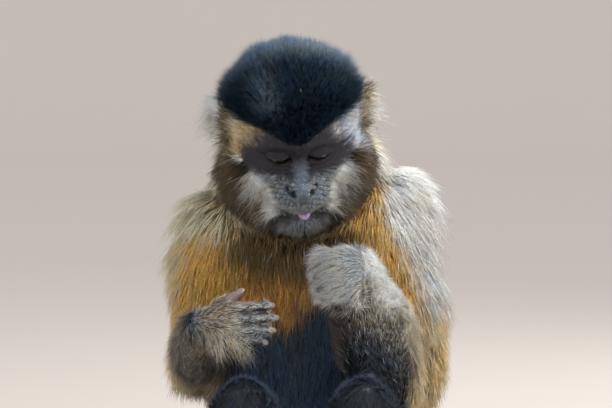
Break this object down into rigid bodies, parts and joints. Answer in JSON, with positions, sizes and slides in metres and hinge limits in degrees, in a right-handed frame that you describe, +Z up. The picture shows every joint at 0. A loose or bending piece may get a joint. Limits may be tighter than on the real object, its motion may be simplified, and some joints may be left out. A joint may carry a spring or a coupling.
{
  "type": "capuchin monkey",
  "caption": "Life-size sitting capuchin monkey with its head bowed, its left hand raised to the chest, its right hand across the belly, and the tail curled round on the floor.",
  "frame": {"origin": "middle of the flat that the rump rests on, at floor level", "axes": "+Z up, the animal faces -Y, its left side is +X"},
  "size_m": [0.2461, 0.2751, 0.3482],
  "materials": {
    "cap": "dense black fur",
    "chest": "golden fur",
    "back": "grizzled olive fur",
    "limb": "grizzled dark fur",
    "hand": "short grey fur",
    "leg": "dark fur",
    "tail": "dark fur",
    "ear": "bare skin",
    "eye": "wet",
    "tongue": "moist"
  },
  "bodies": {
    "root": {"head": "cap", "tongue": "tongue", "ear_right": "ear", "ear_left": "ear", "eye_right": "eye", "eye_left": "eye", "trunk": "back", "neck": "chest", "upper_arm_right": "chest", "forearm_right": "limb", "hand_right": "hand", "upper_arm_left": "chest", "forearm_left": "limb", "hand_left": "hand", "thigh_right": "leg", "shin_right": "leg", "foot_right": "leg", "thigh_left": "leg", "shin_left": "leg", "foot_left": "leg", "tail_1": "tail", "tail_2": "tail", "tail_3": "tail", "tail_4": "tail"}
  },
  "joints": []
}
